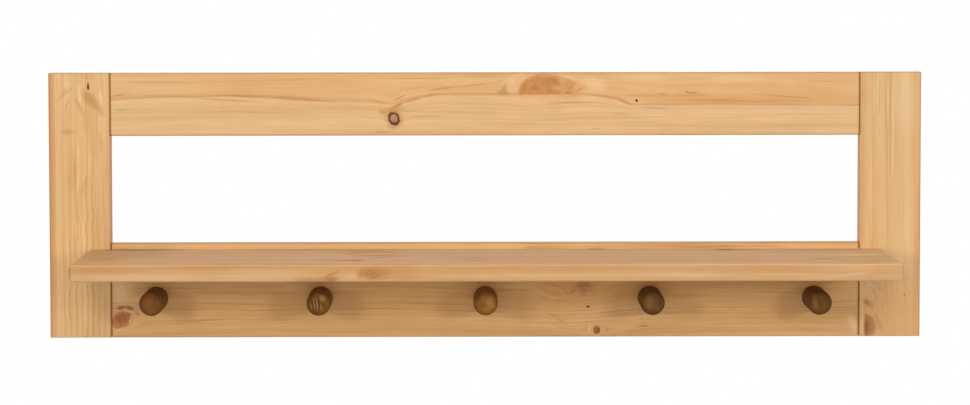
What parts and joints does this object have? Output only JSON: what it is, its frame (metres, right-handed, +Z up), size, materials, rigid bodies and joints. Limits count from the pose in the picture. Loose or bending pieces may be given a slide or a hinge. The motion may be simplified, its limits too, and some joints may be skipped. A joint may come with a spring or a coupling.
{
  "type": "wall shelf with peg rail",
  "caption": "Pine wall frame of two posts and two rails, with a screwed-on shelf above a row of plain round coat pegs.",
  "frame": {"origin": "on the back face of the top rail, at its middle, half way between the points the shelf hangs from", "axes": "+X along the shelf to the right as seen from the room, +Y into the wall, +Z up"},
  "size_m": [1, 0.24, 0.304],
  "materials": {
    "post_pine": "oiled pine, upright grain",
    "rail_pine": "oiled pine, level grain",
    "shelf_pine": "oiled pine board",
    "peg_pine": "oiled round pine rod",
    "beech": "bare fluted beech",
    "zinc_steel": "yellow zinc plated",
    "zinc_plate": "bright zinc plated"
  },
  "bodies": {
    "root": {"left_post": "post_pine", "right_post": "post_pine", "top_rail": "rail_pine", "peg_rail": "rail_pine", "shelf": "shelf_pine", "top_rail_dowels_left": "beech", "top_rail_dowels_right": "beech", "peg_rail_dowels_left": "beech", "peg_rail_dowels_right": "beech", "shelf_dowels": "beech", "shelf_screws": "zinc_steel", "peg_screws": "zinc_steel", "hanger_screws": "zinc_steel", "left_hanger": "zinc_plate", "right_hanger": "zinc_plate", "peg_1": "peg_pine", "peg_2": "peg_pine", "peg_3": "peg_pine", "peg_4": "peg_pine", "peg_5": "peg_pine"}
  },
  "joints": []
}
